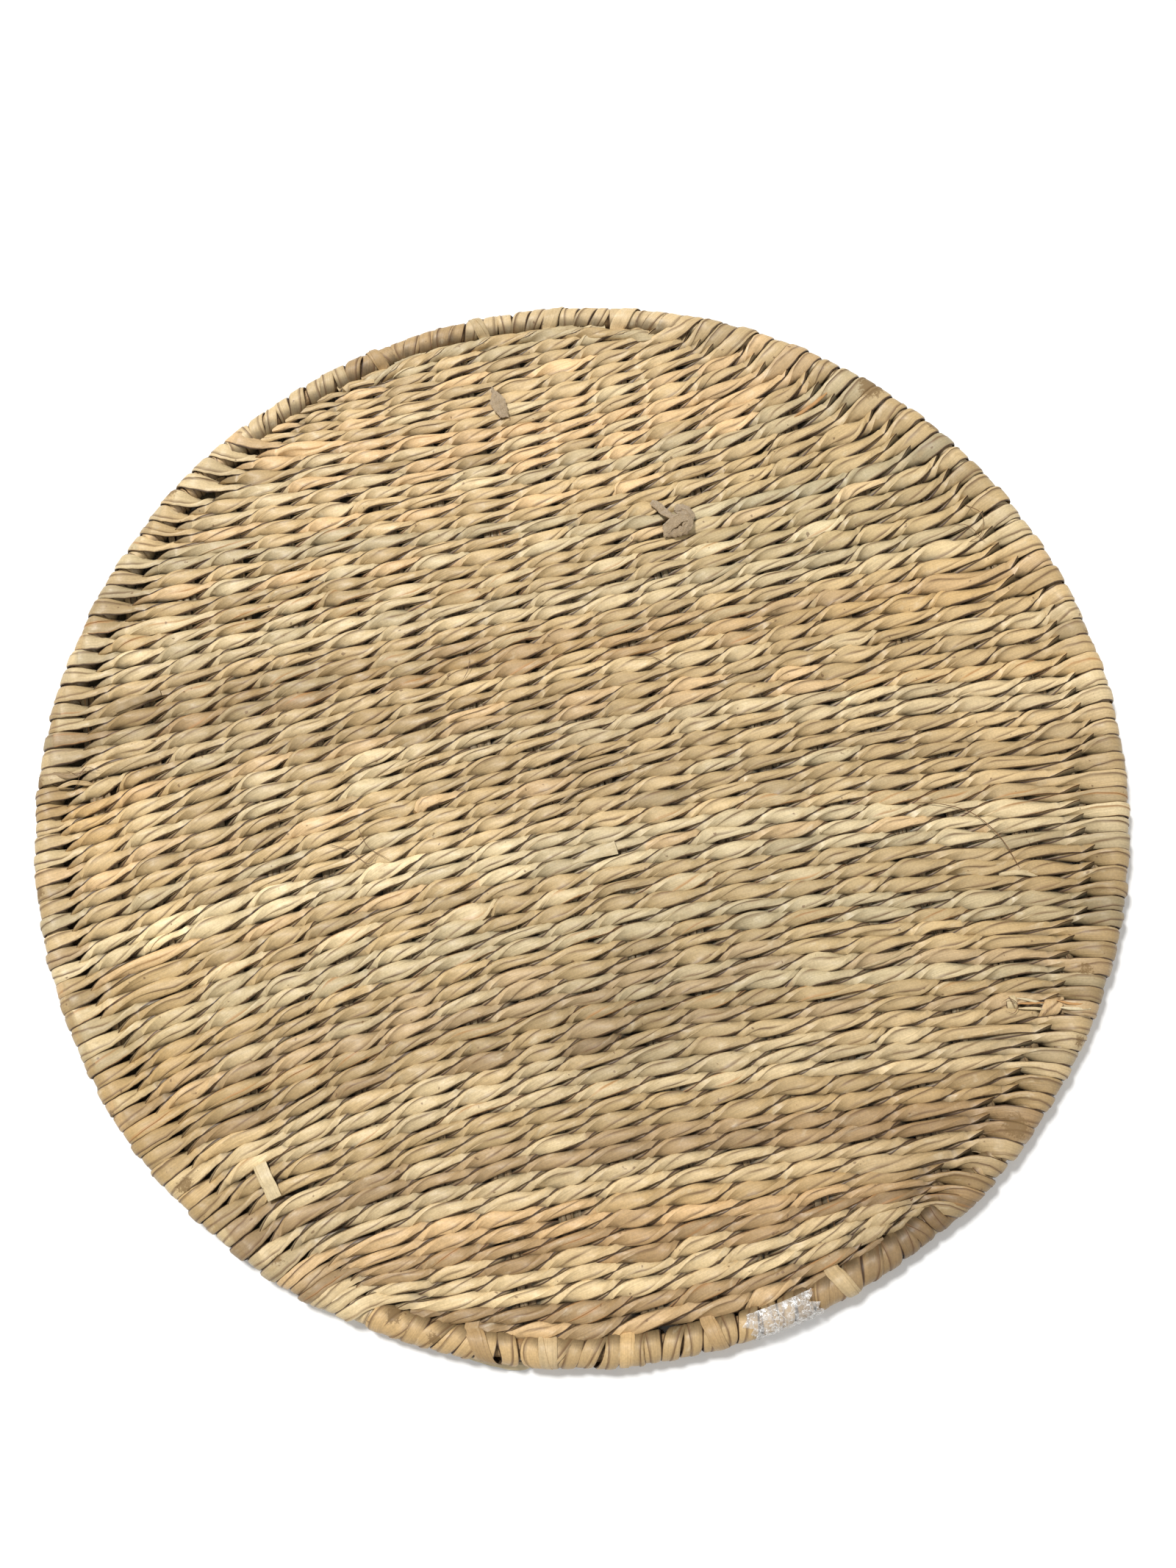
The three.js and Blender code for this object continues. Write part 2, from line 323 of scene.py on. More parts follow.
def sampled(at, along, points):
    """Points of a line at distances along it."""
    return np.stack([np.interp(at, along, column) for column in points.T], 1)


def line_tip(line, end):
    """The point at one end of a line, and how the line runs out of it."""
    tip, before = (line[0], line[2]) if end == 0 else (line[-1], line[-3])
    return tip, tip - before


# ---- The curves that the rows follow ----


def wander(x, y):
    """How far hand work has pushed the rows up or down at a place."""
    waves = (np.sin(2 * math.pi * x / across + turn) * np.cos(2 * math.pi * y / along + 2 * turn)
             * amount for amount, across, along, turn in WANDER)
    return sum(waves)


def parting(x, y):
    """How far the rows stand apart round the open gaps."""
    shift = 0
    for (cx, cy), half_long, amount in PARTINGS:
        side = (y - cy) / 2.5
        shift = shift + amount * np.tanh(side) * np.exp(
            -np.abs(side) / 4 - ((x - cx) / half_long) ** 2)
    return shift


def row_y(level, x):
    """y of a row as the CAD model has it, moved a little by hand."""
    y = even_row_y(level, x)
    return y + wander(x, y) + parting(x, y)


def even_row_y(level, x):
    """y of the row that crosses the middle of the pad at y = level."""
    u = x / PAD_RADIUS
    c = level / PAD_RADIUS
    alone, spread, lean = [u * (a + u * (b + u * d)) for a, b, d in ROW_BOW]
    bow = alone + c * (spread + c * lean)
    arch = (FAR_ARCH if c > 0 else NEAR_ARCH) * u * u
    share = smooth((abs(c) - ARCH_LEVEL) / (1 - ARCH_LEVEL))
    return PAD_RADIUS * (c + bow + share * (arch - bow))


def row_end(level, side, radius):
    """x at which a row reaches a radius, on the side given by the sign, found by halving."""
    inside = 0.0
    outside = side * radius
    for _ in range(40):
        middle = (inside + outside) / 2
        if math.hypot(middle, row_y(level, middle)) < radius:
            inside = middle
        else:
            outside = middle
    return inside


def stake_x(index):
    return (index - (STAKES - 1) / 2) * STAKE_SPACING


def row_line(level, bound):
    """Points along the middle of a row, a step apart. Towards a hoop end it turns outwards."""
    ends = [row_end(level, side, TUCK_RADIUS if stops else HOOP_RADIUS)
            for side, stops in zip((-1, 1), bound)]
    x = np.linspace(*ends, 400)
    points = np.stack([x, row_y(level, x)], 1)
    along = running(points)
    for end, stops in enumerate(bound):
        if not stops:
            points = points + end_turn(points, along, end)
    along = running(points)
    count = max(8, round(along[-1] / STEP)) + 1
    even = np.linspace(0, along[-1], count)
    return sampled(even, along, points), even


def end_turn(points, along, end):
    """How far the last stretch of a row is shifted along the hoop, to meet it more squarely."""
    tip, out = line_tip(points, end)
    angle = math.atan2(tip[1], tip[0]) - math.atan2(out[1], out[0])
    angle = (angle + math.pi) % (2 * math.pi) - math.pi
    reach = along if end == 0 else along[-1] - along
    amount = END_BEND / 2 * math.tan(END_BEND_SHARE * angle)
    tangent = unit(np.array([-tip[1], tip[0]]))
    return (amount * np.clip(1 - reach / END_BEND, 0, 1) ** 2)[:, None] * tangent


# ---- Strips of leaf ----


def blank_strip(count):
    """The values of a strip at each of its stations. middle is on its inner face, dome and
    belly are how far its outer and inner faces stand off that, and a higher power gives a
    flatter face with squarer edges. edge is how dark the line along its edges is, a brown line
    with a painted shadow beside it, and spread how far that line reaches over the face. shade
    is a factor on the colour: painted shade at the crossings and on the inner side of the
    wraps, and plain tone elsewhere, such as the random tone at the row ends."""
    strip = {name: np.ones(count) for name in ("half", "dome", "shade", "edge", "spread")}
    strip.update({name: np.zeros(count) for name in ("belly", "cell")})
    strip["power"] = np.full(count, ROUND_POWER)
    strip.update({name: np.zeros((count, 3)) for name in ("middle", "up")})
    return strip


def joined(strips):
    return {name: np.concatenate([s[name] for s in strips]) for name in strips[0]}


def reversed_strip(strip):
    return {name: values[::-1] for name, values in strip.items()}


def section(strip, fold, fold_height):
    """Across and up of each point round the strip's section, one line for each station.
    The outer face has a folded layer that ends in a step at fold."""
    low = -1 + (fold - FOLD_EDGE + 1)[:, None] * OUTER_LOW
    high = (fold + FOLD_EDGE)[:, None] + (1 - fold - FOLD_EDGE)[:, None] * OUTER_HIGH
    inner = np.repeat(INNER[None], len(fold), 0)
    low[:, 1] += LIP
    high[:, -2] -= LIP
    across = np.concatenate([low, high, inner], 1)
    round_off = np.sqrt(np.clip(1 - np.abs(across) ** strip["power"][:, None], 0, 1))
    up = strip["dome"][:, None] * round_off
    up[:, FOLD_AT:OUTER] += fold_height[:, None] * np.sqrt(round_off[:, FOLD_AT:OUTER])
    up[:, OUTER:] = -strip["belly"][:, None] * round_off[:, OUTER:]
    crease_and_gap_shadow = np.zeros_like(across)
    crease_and_gap_shadow[:, [0, OUTER - 1]] = strip["edge"][:, None]
    crease_and_gap_shadow[:, [1, OUTER - 2]] = (strip["edge"] * strip["spread"])[:, None]
    crease_and_gap_shadow[:, [FOLD_AT - 1, FOLD_AT]] = FOLD_CREASE * (0.4 + 0.6 * strip["spread"][:, None])
    return across, up, crease_and_gap_shadow


def crevice_shade(points):
    """Painted shade: how much darker the leaf is painted deep between the rows, where shade falls."""
    deep = 1 - smooth((np.abs(points[:, 2] - MIDDLE_HEIGHT) - 0.25) / CREVICE_SHADE_RISE)
    inside = 1 - smooth((np.hypot(points[:, 0], points[:, 1]) - 187) / 5)
    return 1 - CREVICE_SHADE_DARK * deep * inside


def build_strip(strip, rng, closed, tints=None, shaded=1.0):
    """One strip's vertices, quads and point values, with its colours and its painted shade."""
    middle = strip["middle"]
    if closed:
        ahead = np.roll(middle, -1, 0) - np.roll(middle, 1, 0)
    else:
        ahead = np.gradient(middle, axis=0)
    ahead = unit(ahead)
    up = unit(strip["up"] - (strip["up"] * ahead).sum(1, keepdims=True) * ahead)
    side = np.cross(ahead, up)
    along = running(middle)
    wave = rng.uniform(55, 120)
    if closed:
        length = along[-1] + np.linalg.norm(middle[0] - middle[-1])
        wave = length / max(1, round(length / wave))
    fold = FOLD_REACH * np.sin(2 * math.pi * (along / wave + rng.random()))
    fold_height = 0.2 + 0.1 * np.sin(2 * math.pi * (2 * along / wave + rng.random()))
    across, rise, crease_and_gap_shadow = section(strip, fold, fold_height)
    count = len(middle)
    offset = (across * strip["half"][:, None])[..., None] * side[:, None]
    vertices = (middle[:, None] + offset + rise[..., None] * up[:, None]).reshape(-1, 3)
    vertices[:, 2] = np.maximum(vertices[:, 2], REST_LIFT)
    tint, seed = strip_colours(strip, along, rng, tints)
    # Painted shade: darker deep between the rows, as much as shaded asks for.
    shade = 1 - shaded * (1 - crevice_shade(vertices))
    # Painted shade on the inner face, fuller where the edge line is darker.
    inner_painted_shade = np.ones((count, SECTION))
    inner_painted_shade[:, -len(INNER):] = 1 - strip["edge"][:, None] ** 2 * (1 - INNER_PAINTED_SHADE)
    values = {
        "tint": np.repeat(tint, SECTION, 0) * (shade * inner_painted_shade.ravel())[:, None],
        "strip": np.stack([
            np.repeat(along, SECTION), across.ravel(), np.repeat(seed, SECTION)], 1),
        "crease_and_gap_shadow": crease_and_gap_shadow.ravel(),
    }
    return vertices, ring_faces(count, SECTION, closed), values


def ring_faces(count, size, closed):
    """Quads between neighbouring rings of points, and flat ends where the rings don't close."""
    start = np.arange(count if closed else count - 1)[:, None] * size
    here = np.arange(size)[None]
    beside = (here + 1) % size
    after = (start + size) % (count * size)
    quads = np.stack([start + here, start + beside, after + beside, after + here], -1)
    faces = quads.reshape(-1, 4).tolist()
    if not closed:
        faces += [list(range(size))[::-1], list(range((count - 1) * size, count * size))]
    return faces


def place_factor(x, y):
    """Colour factor of the leaf at a place."""
    factor = np.ones((len(x), 3))
    for (cx, cy), (rx, ry), tone in TINTED_PLACES:
        share = np.exp(-((x - cx) / rx) ** 2 - ((y - cy) / ry) ** 2)[:, None]
        factor *= 1 + share * (np.array(tone) - 1)
    return factor


def strip_colours(strip, along, rng, tints):
    """A colour and a seed for each station. A new leaf starts every few crossings."""
    tints = tints or LEAF_TINTS
    palette = np.array([t for t, _ in tints])
    weights = np.array([w for _, w in tints], float)
    cells = np.r_[0, np.cumsum(np.abs(np.diff(strip["cell"])) > 0.5)].astype(int)
    leaf = np.zeros(cells[-1] + 1, int)
    left = 0
    number = -1
    for i in range(len(leaf)):
        if left == 0:
            left = int(rng.integers(5, 15))
            number += 1
        leaf[i] = number
        left -= 1
    colours = palette[rng.choice(len(palette), number + 1, p=weights / weights.sum())]
    colours = colours * rng.normal(1, 0.06, (number + 1, 1))
    petal = rng.normal(1, 0.05, (len(leaf), 1))
    drift = 1 + 0.05 * np.sin(along / rng.uniform(40, 90) + rng.uniform(0, 6))
    x, y = strip["middle"][:, 0], strip["middle"][:, 1]
    tint = colours[leaf[cells]] * petal[cells] * drift[:, None] * strip["shade"][:, None]
    return tint * place_factor(x, y), rng.random(number + 1)[leaf[cells]]


# ---- Meshes ----


def add_object(name, data):
    thing = bpy.data.objects.new(name, data)
    bpy.context.scene.collection.objects.link(thing)
    return thing


def add_piece(name, parts, material, replaces=(), sharp=48):
    """One object from (vertices, faces, values) parts, on the root body."""
    vertices = np.concatenate([p[0] for p in parts])
    faces = []
    base = 0
    for points, part_faces, _ in parts:
        faces.extend([[i + base for i in face] for face in part_faces])
        base += len(points)
    mesh = bpy.data.meshes.new(name)
    mesh.from_pydata((vertices * METRES).tolist(), [], faces)
    values = {key: np.concatenate([p[2][key] for p in parts]) for key in parts[0][2]}
    add_values(mesh, vertices, values)
    mesh.polygons.foreach_set("use_smooth", np.ones(len(faces), bool))
    mesh.set_sharp_from_angle(angle=math.radians(sharp))
    mesh.materials.append(material)
    piece = add_object(name, mesh)
    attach(piece, "root")
    if replaces:
        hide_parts(*replaces)


def add_values(mesh, vertices, values):
    """Point attributes that the materials read."""
    values = {**values, "stain": stain_at(vertices)}
    if "tint" in values:
        values["tint"] = np.c_[np.clip(values["tint"], 0, 1), np.ones(len(vertices))]
    kinds = {1: ("FLOAT", "value"), 3: ("FLOAT_VECTOR", "vector"), 4: ("FLOAT_COLOR", "color")}
    for name, data in values.items():
        kind, field = kinds[data.size // len(vertices)]
        attribute = mesh.attributes.new(name, kind, "POINT")
        attribute.data.foreach_set(field, data.astype(np.float32).ravel())


def stain_at(points):
    stain = np.zeros(len(points))
    for (x, y), reach, strength in STAINS:
        distance = np.sqrt((points[:, 0] - x) ** 2 + (points[:, 1] - y) ** 2
                           + (0.7 * (points[:, 2] - 9)) ** 2)
        stain = np.maximum(stain, STAIN_DEPTH * strength * (1 - smooth(distance / reach)))
    return stain


# ---- The rows ----


def phase_knots(line, along, bound, rng):
    """Where the plies stand above each other and where they cross, as (place, phase), and
    the places of the first crossing and the last."""
    total = along[-1]
    places = []
    for index in range(STAKES):
        offset = line[:, 0] + STAKE_LEAN * line[:, 1] - stake_x(index)
        if offset[0] < 0 < offset[-1]:
            place = np.interp(0, offset, along)
            rooms = [6.0 if stops else END_ROOM for stops in bound]
            if rooms[0] < place < total - rooms[1]:
                places.append((place + rng.normal(0, 2.8), index))
    if not places:
        places = [(total / 2, STAKES // 2)]
    first, last = places[0], places[-1]
    head = min(rng.uniform(*END_CROSSING), 0.55 * first[0])
    tail = total - min(rng.uniform(*END_CROSSING), 0.55 * (total - last[0]))
    knots = [(0, first[1] - 1), (END_FLAT * head, first[1] - 1 + END_FLAT_PHASE),
             (head, first[1] - 0.5), *places, (tail, last[1] + 0.5),
             (total - END_FLAT * (total - tail), last[1] + 1 - END_FLAT_PHASE),
             (total, last[1] + 1)]
    return np.array(knots, float), (head, tail)


def petal_noise(phase, rng, spread):
    """A random value for each petal, eased from one to the next."""
    low = math.floor(phase.min()) - 1
    high = math.ceil(phase.max()) + 2
    draws = rng.normal(0, spread, high - low)
    cell = np.floor(phase)
    here = draws[(cell - low).astype(int)]
    ahead = draws[(cell - low + 1).astype(int)]
    return here + (ahead - here) * smooth(phase - cell)


def ply(line, along, knots, crossings, turn, bound, widths, rng):
    """One ply of a row from its left end to its right end. turn is 0 or 1 half turn."""
    strip = blank_strip(len(line))
    phase = np.interp(along, knots[:, 0], knots[:, 1])
    angle = math.pi * (phase + turn)
    lateral = unit(np.gradient(line, axis=0))[:, ::-1] * (-1, 1)
    past = [1 - along / crossings[0], (along - crossings[1]) / (along[-1] - crossings[1])]
    inside = (past[0] < 0) & (past[1] < 0)
    roll = angle - ROLL_EASE * np.sin(2 * angle) * inside
    flat = np.abs(np.cos(roll))
    roll = roll + (PETAL_LEAN + petal_noise(phase, rng, 0.1)) * flat * inside
    reach = CROSSING_REACH + (STAKE_REACH - CROSSING_REACH) * flat
    reach = reach + petal_noise(phase, rng, 0.12) * flat * inside
    widest = widths["row"] * np.clip(1 + petal_noise(phase, rng, 0.15), 0.72, 1.32)
    dome = np.full(len(line), STAKE_DOME)
    crossing_dome = np.full(len(line), CROSSING_DOME)
    narrow = CROSSING_SHARE * widths["row"]
    for end, stops in enumerate(bound):
        from_end = along if end == 0 else along[-1] - along
        near = smooth(1.4 * (1 - from_end / END_CROWDING))
        crossing_dome += near * (0.95 * widths["ends"][end] - CROSSING_DOME)
        narrow = narrow * (1 - END_NARROWING * near)
        lap = widths["laps"][end]
        tip_reach, tip_dome = (TUCK_LIFT, STAKE_DOME) if stops else (lap, HOOP_DOME)
        t = past[end]
        climb = CROSSING_REACH + (STAKE_REACH - CROSSING_REACH) * flat
        climb = climb + (tip_reach - STAKE_REACH) * smooth((t - 0.3) / 0.7)
        reach = np.where(t >= 0, climb, reach)
        wide = widths["row"] * 0.8 if stops else widths["ends"][end]
        widest = np.where(t >= 0, wide, widest)
        dome = np.where(t >= 0, STAKE_DOME + (tip_dome - STAKE_DOME) * smooth(t / 0.8), dome)
    swing = reach * np.sin(roll) + petal_noise(phase, rng, 0.3) * flat * inside
    strip["middle"][:, :2] = line + lateral * swing[:, None]
    strip["middle"][:, 2] = MIDDLE_HEIGHT + reach * np.cos(roll)
    strip["up"][:, :2] = lateral * np.sin(roll)[:, None]
    strip["up"][:, 2] = np.cos(roll)
    strip["half"] = narrow + (widest - narrow) * flat
    strip["power"] = SQUARE_POWER + (ROUND_POWER - SQUARE_POWER) * flat ** 4
    for t in past:
        strip["power"] = np.where(t >= 0, HOOP_POWER, strip["power"])
        under = smooth(4 * t) * (1 - smooth((t - 0.75) / 0.25)) * (np.cos(angle) < 0)
        strip["half"] *= 1 + END_UNDER_WIDE * under
    strip["dome"] = crossing_dome + (dome - crossing_dome) * flat
    clear = 0.9 - CROWN_CLEARANCE * smooth((flat - 0.75) / 0.25)
    strip["belly"] = 0.05 + np.maximum(reach, 0) * clear
    for t in past:
        swell = 0.1 + 0.35 * smooth(8 * t) * (1 - smooth(3 * t))
        strip["belly"] = np.where(t >= 0, swell, strip["belly"])
    # Painted shade: the plies are a little darker at the crossings, where they dip.
    strip["shade"] = 0.95 + 0.05 * flat
    for t, tone in zip(past, widths["tones"]):
        strip["shade"] *= 1 + (tone - 1) * smooth(2 * t)
    strip["edge"] = EDGE_AT_CROSSING + (1 - EDGE_AT_CROSSING) * flat ** 2
    strip["spread"] = flat ** 3
    strip["cell"] = np.floor(phase + 0.5)
    return strip


def hoop_arc(line, end, from_top, widths):
    """A row's strip round the outside of the hoop, from its top to its bottom or back."""
    tip, out = line_tip(line, end)
    out = unit(out)
    radial = unit(tip)
    strip = blank_strip(ARC_STEPS)
    steps = (np.arange(ARC_STEPS) + 1) / (ARC_STEPS + 1)
    angle = math.pi * (0.5 - steps) * (1 if from_top else -1)
    lap = widths["laps"][end]
    reach = lap / max(0.5, float(out @ radial))
    strip["middle"][:, :2] = tip + np.cos(angle)[:, None] * reach * out
    strip["middle"][:, 2] = MIDDLE_HEIGHT + lap * np.sin(angle)
    strip["up"][:, :2] = np.cos(angle)[:, None] * radial
    strip["up"][:, 2] = np.sin(angle)
    strip["half"] *= widths["ends"][end]
    strip["shade"] *= widths["tones"][end]
    strip["dome"] *= HOOP_DOME
    strip["power"][:] = HOOP_POWER
    strip["belly"] += 0.05
    return strip


def end_half_width(level, side):
    """Half the width that a row's strip has on the hoop, from the room between the rows."""
    tips = []
    for near in (-0.5, 0.5):
        tip, out = line_tip(row_line(level + near * ROW_PITCH, (False, False))[0], side)
        tips.append(tip)
    room = np.linalg.norm(tips[1] - tips[0]) * float(unit(out) @ unit(tips[1]))
    return float(np.clip(0.51 * room, 2.2, 3.5))


def row_strips(level, bound, rng):
    """The strips of a row: one closed loop, or open ones where the row is tucked in."""
    line, along = row_line(level, bound)
    knots, crossings = phase_knots(line, along, bound, rng)
    room = row_y(level + ROW_PITCH / 2, line[:, 0]) - row_y(level - ROW_PITCH / 2, line[:, 0])
    slope = unit(np.gradient(line, axis=0))[:, 0]
    row_half = np.clip(PETAL_FILL * room * slope / 2, 2.2, 3.6)
    ends = [2.4 if stops else end_half_width(level, i) for i, stops in enumerate(bound)]
    widths = {"row": row_half, "ends": [e * rng.normal(1, 0.05) for e in ends],
              "tones": rng.uniform(*END_TONES, 2), "laps": rng.uniform(*END_LAPS, 2)}
    out = ply(line, along, knots, crossings, 0, bound, widths, rng)
    back = reversed_strip(ply(line, along, knots, crossings, 1, bound, widths, rng))
    left_top = int(knots[0, 1]) % 2 == 0
    right_top = int(knots[-1, 1]) % 2 == 0
    right = hoop_arc(line, 1, right_top, widths)
    right["cell"] += out["cell"][-1]
    left = hoop_arc(line, 0, not left_top, widths)
    left["cell"] += back["cell"][-1]
    if bound == (True, True):
        return [(out, False), (back, False)]
    if bound == (True, False):
        return [(joined([out, right, back]), False)]
    if bound == (False, True):
        return [(joined([back, left, out]), False)]
    return [(joined([out, right, back, left]), True)]


def add_course(index, material):
    rng = dice(1, index)
    top = BOUND_END_RADIUS - index * COURSE_PITCH
    bound = tuple(index < FAR_BOUND[i] or index >= COURSES - NEAR_BOUND[i] for i in (0, 1))
    main = LEAF_TINTS[rng.choice(len(LEAF_TINTS), p=TINT_SHARES)][0]
    tints = (*LEAF_TINTS, (main, MAIN_TINT_WEIGHT))
    parts = []
    for quarter in (0.25, 0.75):
        for strip, closed in row_strips(top - quarter * COURSE_PITCH, bound, rng):
            parts.append(build_strip(strip, rng, closed, tints))
    number = "%02d" % (index + 1)
    add_piece("weft_" + number, parts, material, ["weft_course_" + number])


# ---- The stakes ----


def add_stake(index, material):
    rng = dice(2, index)
    x0 = stake_x(index)
    reach = math.sqrt((STAKE_END_RADIUS + 3) ** 2 - x0 ** 2)
    y = np.arange(-reach, reach, 3.0)
    parts = []
    for strand in range(STAKE_STRIPS):
        share = (strand + 0.5) / STAKE_STRIPS - 0.5
        strip = blank_strip(len(y))
        sway = 0.25 * np.sin(y / rng.uniform(14, 24) + rng.uniform(0, 6))
        strip["middle"][:, 0] = x0 - STAKE_LEAN * y + share * STAKE_WIDTH + sway
        strip["middle"][:, 1] = y
        strip["middle"][:, 2] = MIDDLE_HEIGHT + 0.2 * np.sin(y / rng.uniform(9, 16))
        strip["up"][:, 0] = 0.25 * np.sin(y / 31 + rng.uniform(0, 6))
        strip["up"][:, 2] = 1
        strip["half"] *= STAKE_STRIP_HALF
        strip["dome"] *= STAKE_STRIP_DOME
        strip["belly"] = strip["dome"]
        strip["shade"] *= 0.9
        strip["cell"] = np.floor(y / 60)
        parts.append(build_strip(strip, rng, False, BINDING_TINTS, STAKE_SHADED))
    number = "%02d" % (index + 1)
    add_piece("stake_leaf_" + number, parts, material, ["stake_" + number])


# ---- The hoop and its wraps ----


def wound(start, stop, rng, pitch, radius, half, looseness):
    """A strip wound round the hoop between two angles, turn beside turn."""
    turns = max(1, round((stop - start) * HOOP_RADIUS / pitch))
    turn = np.arange(turns * WOUND_STEPS + 1) / WOUND_STEPS
    draws = rng.normal(0, 1, (4, turns + 3))
    here = draws[:, turn.astype(int)]
    eased = here + (draws[:, turn.astype(int) + 1] - here) * smooth(turn % 1)
    drift = 0.55 * eased[0] + 0.75 * np.sin(2 * math.pi * turn) * eased[1]
    angle = start + (stop - start) * turn / turns
    angle = angle + looseness * drift / HOOP_RADIUS
    round_angle = 2 * math.pi * turn - math.pi / 2
    lap = radius + looseness * 0.1 * eased[2]
    radial = np.stack([np.cos(angle), np.sin(angle)], 1)
    strip = blank_strip(len(turn))
    strip["middle"][:, :2] = radial * (HOOP_RADIUS + lap * np.cos(round_angle))[:, None]
    strip["middle"][:, 2] = MIDDLE_HEIGHT + lap * np.sin(round_angle)
    strip["up"][:, :2] = radial * np.cos(round_angle)[:, None]
    strip["up"][:, 2] = np.sin(round_angle)
    strip["half"] = half * np.clip(1 + 0.12 * eased[3], 0.75, 1.3)
    strip["dome"] *= WOUND_DOME
    strip["belly"] += 0.05
    # Painted shade: each turn is darker on its inner side, which faces the rows.
    strip["shade"] -= 0.6 * smooth((-np.cos(round_angle) - 0.2) / 0.6)
    strip["cell"] = np.floor(turn)
    return strip


def binding_angles(level, counts, inwards):
    angles = []
    for side, count in zip((-1, 1), counts):
        edge = level + inwards * count * COURSE_PITCH
        x = row_end(edge, side, BOUND_END_RADIUS)
        angles.append(math.atan2(row_y(edge, x), x))
    return sorted(angles)


FAR_ARC = binding_angles(BOUND_END_RADIUS, FAR_BOUND, -1)
NEAR_ARC = binding_angles(-BOUND_END_RADIUS, NEAR_BOUND, 1)
BINDING_PAST = math.radians(3)


def add_binding(name, arc, node, material):
    rng = dice(3, int(arc[0] > 0))
    strip = wound(arc[0] - BINDING_PAST, arc[1] + BINDING_PAST, rng, pitch=6.5, radius=4.15,
                  half=3.2, looseness=2.2)
    strip["power"][:] = HOOP_POWER
    add_piece(name, [build_strip(strip, rng, False, BINDING_TINTS)], material, [node])


def add_base_wraps(material):
    """The first layer of wraps, seen between the rows' ends on the hoop."""
    rng = dice(4)
    gaps = ((NEAR_ARC[1] - BINDING_PAST, FAR_ARC[0] + BINDING_PAST),
            (FAR_ARC[1] - BINDING_PAST, NEAR_ARC[0] + BINDING_PAST + 2 * math.pi))
    for name, (start, stop) in zip(("right", "left"), gaps):
        strip = wound(start, stop, rng, pitch=5.0, radius=3.4, half=2.6, looseness=0.6)
        add_piece("base_wrap_" + name, [build_strip(strip, rng, False)], material)


def smooth_path(points, step):
    """Points a step apart on a smooth curve through given points."""
    points = np.array(points, float)
    padded = np.vstack([2 * points[0] - points[1], points, 2 * points[-1] - points[-2]])
    t = np.linspace(0, 1, 24, endpoint=False)[:, None]
    pieces = []
    for a, b, c, d in zip(padded, padded[1:], padded[2:], padded[3:]):
        pieces.append(0.5 * (2 * b + (c - a) * t + (2 * a - 5 * b + 4 * c - d) * t ** 2
                             + (3 * b - a - 3 * c + d) * t ** 3))
    curve = np.vstack([*pieces, points[-1:]])
    along = running(curve)
    even = np.linspace(0, along[-1], max(4, round(along[-1] / step)) + 1)
    return sampled(even, along, curve)


def laid_strip(points, half, dome, ups=None, step=1.0, taper=0.0, belly=None):
    """A loose strip through given points. ups are the ways its outer face looks."""
    path = smooth_path(points, step)
    strip = blank_strip(len(path))
    strip["middle"] = path
    share = np.linspace(0, 1, len(path))
    ups = np.array([(0, 0, 1)] * 2 if ups is None else ups, float)
    at = np.linspace(0, 1, len(ups))
    strip["up"] = unit(sampled(share, at, ups))
    strip["half"] *= half
    if taper:
        strip["half"] *= np.clip(np.minimum(share, 1 - share) / taper, 0.25, 1) ** 0.6
    strip["dome"] *= dome
    strip["belly"] += dome if belly is None else belly
    strip["spread"] *= 0.3
    return strip


def add_far_border(material):
    """The last far row lies along the binding, over the tucked ends of the other rows."""
    rng = dice(6)
    angle = np.arange(*FAR_BORDER_ARC, -STEP / FAR_BORDER_RADIUS)
    line = FAR_BORDER_RADIUS * np.stack([np.cos(angle), np.sin(angle)], 1)
    along = np.arange(len(line)) * STEP
    knots = np.array([(0, -0.5), (along[-1], round(along[-1] / STAKE_SPACING) + 0.5)])
    crossings = (-1.0, along[-1] + 1)
    widths = {"row": np.full(len(line), 3.4), "ends": [3.2, 3.2], "tones": [1, 1],
              "laps": [END_LAPS[0]] * 2}
    parts = []
    for turn in (0, 1):
        strip = ply(line, along, knots, crossings, turn, (True, True), widths, rng)
        strip["middle"][:, 2] += 1.7 - 2.6 * smooth(np.abs(np.linspace(-1, 1, len(line))) * 5 - 4)
        parts.append(build_strip(strip, rng, False))
    add_piece("far_border_row", parts, material)


def hoop_point(angle, round_angle, lap):
    """A point on the hoop's tube, and the way out of the tube there. Round angle 0 is the
    outside and 90 the top."""
    angle, round_angle = math.radians(angle), math.radians(round_angle)
    radial = np.array([math.cos(angle), math.sin(angle), 0])
    out = radial * math.cos(round_angle) + np.array([0, 0, math.sin(round_angle)])
    return radial * HOOP_RADIUS + np.array([0, 0, MIDDLE_HEIGHT]) + lap * out, out


def add_crossing_wraps(material):
    """Stake ends and stray strips that go over the bindings, each at its own slant."""
    rng = dice(7)
    parts = []
    for angle, slant, half, reach in CROSSING_WRAPS:
        placed = [hoop_point(angle + slant * share, 155 - 215 * share, 5.05 - 0.7 * share ** 4)
                  for share in np.linspace(0, 1, 8)]
        points = [point for point, _ in placed]
        ups = [out for _, out in placed]
        start = points[0] * (1 - reach / HOOP_RADIUS)
        start[2] = MIDDLE_HEIGHT + 0.2
        strip = laid_strip([start, *points], half, 0.3, [(0, 0, 1), *ups], belly=0.1)
        strip["half"] *= 1 + 0.12 * np.sin(np.linspace(0, 5, len(strip["half"])))
        strip["power"][:] = HOOP_POWER
        parts.append(build_strip(strip, rng, False, BINDING_TINTS))
    add_piece("crossing_wraps", parts, material)


def add_loose_ends(material):
    """Leaf ends that stand out of the weave: flat tips, tucked ends and peeled slivers."""
    rng = dice(8)
    parts = []
    for points, half, tints, taper in LOOSE_ENDS:
        strip = laid_strip(points, 1.0, 0.22, step=0.8, taper=taper)
        strip["half"] *= np.linspace(*np.broadcast_to(half, 2), len(strip["half"]))
        strip["middle"][:, 2] += 0.15 * np.sin(np.arange(len(strip["middle"])) * 0.9)
        parts.append(build_strip(strip, rng, False, tints))
    add_piece("loose_ends", parts, material)


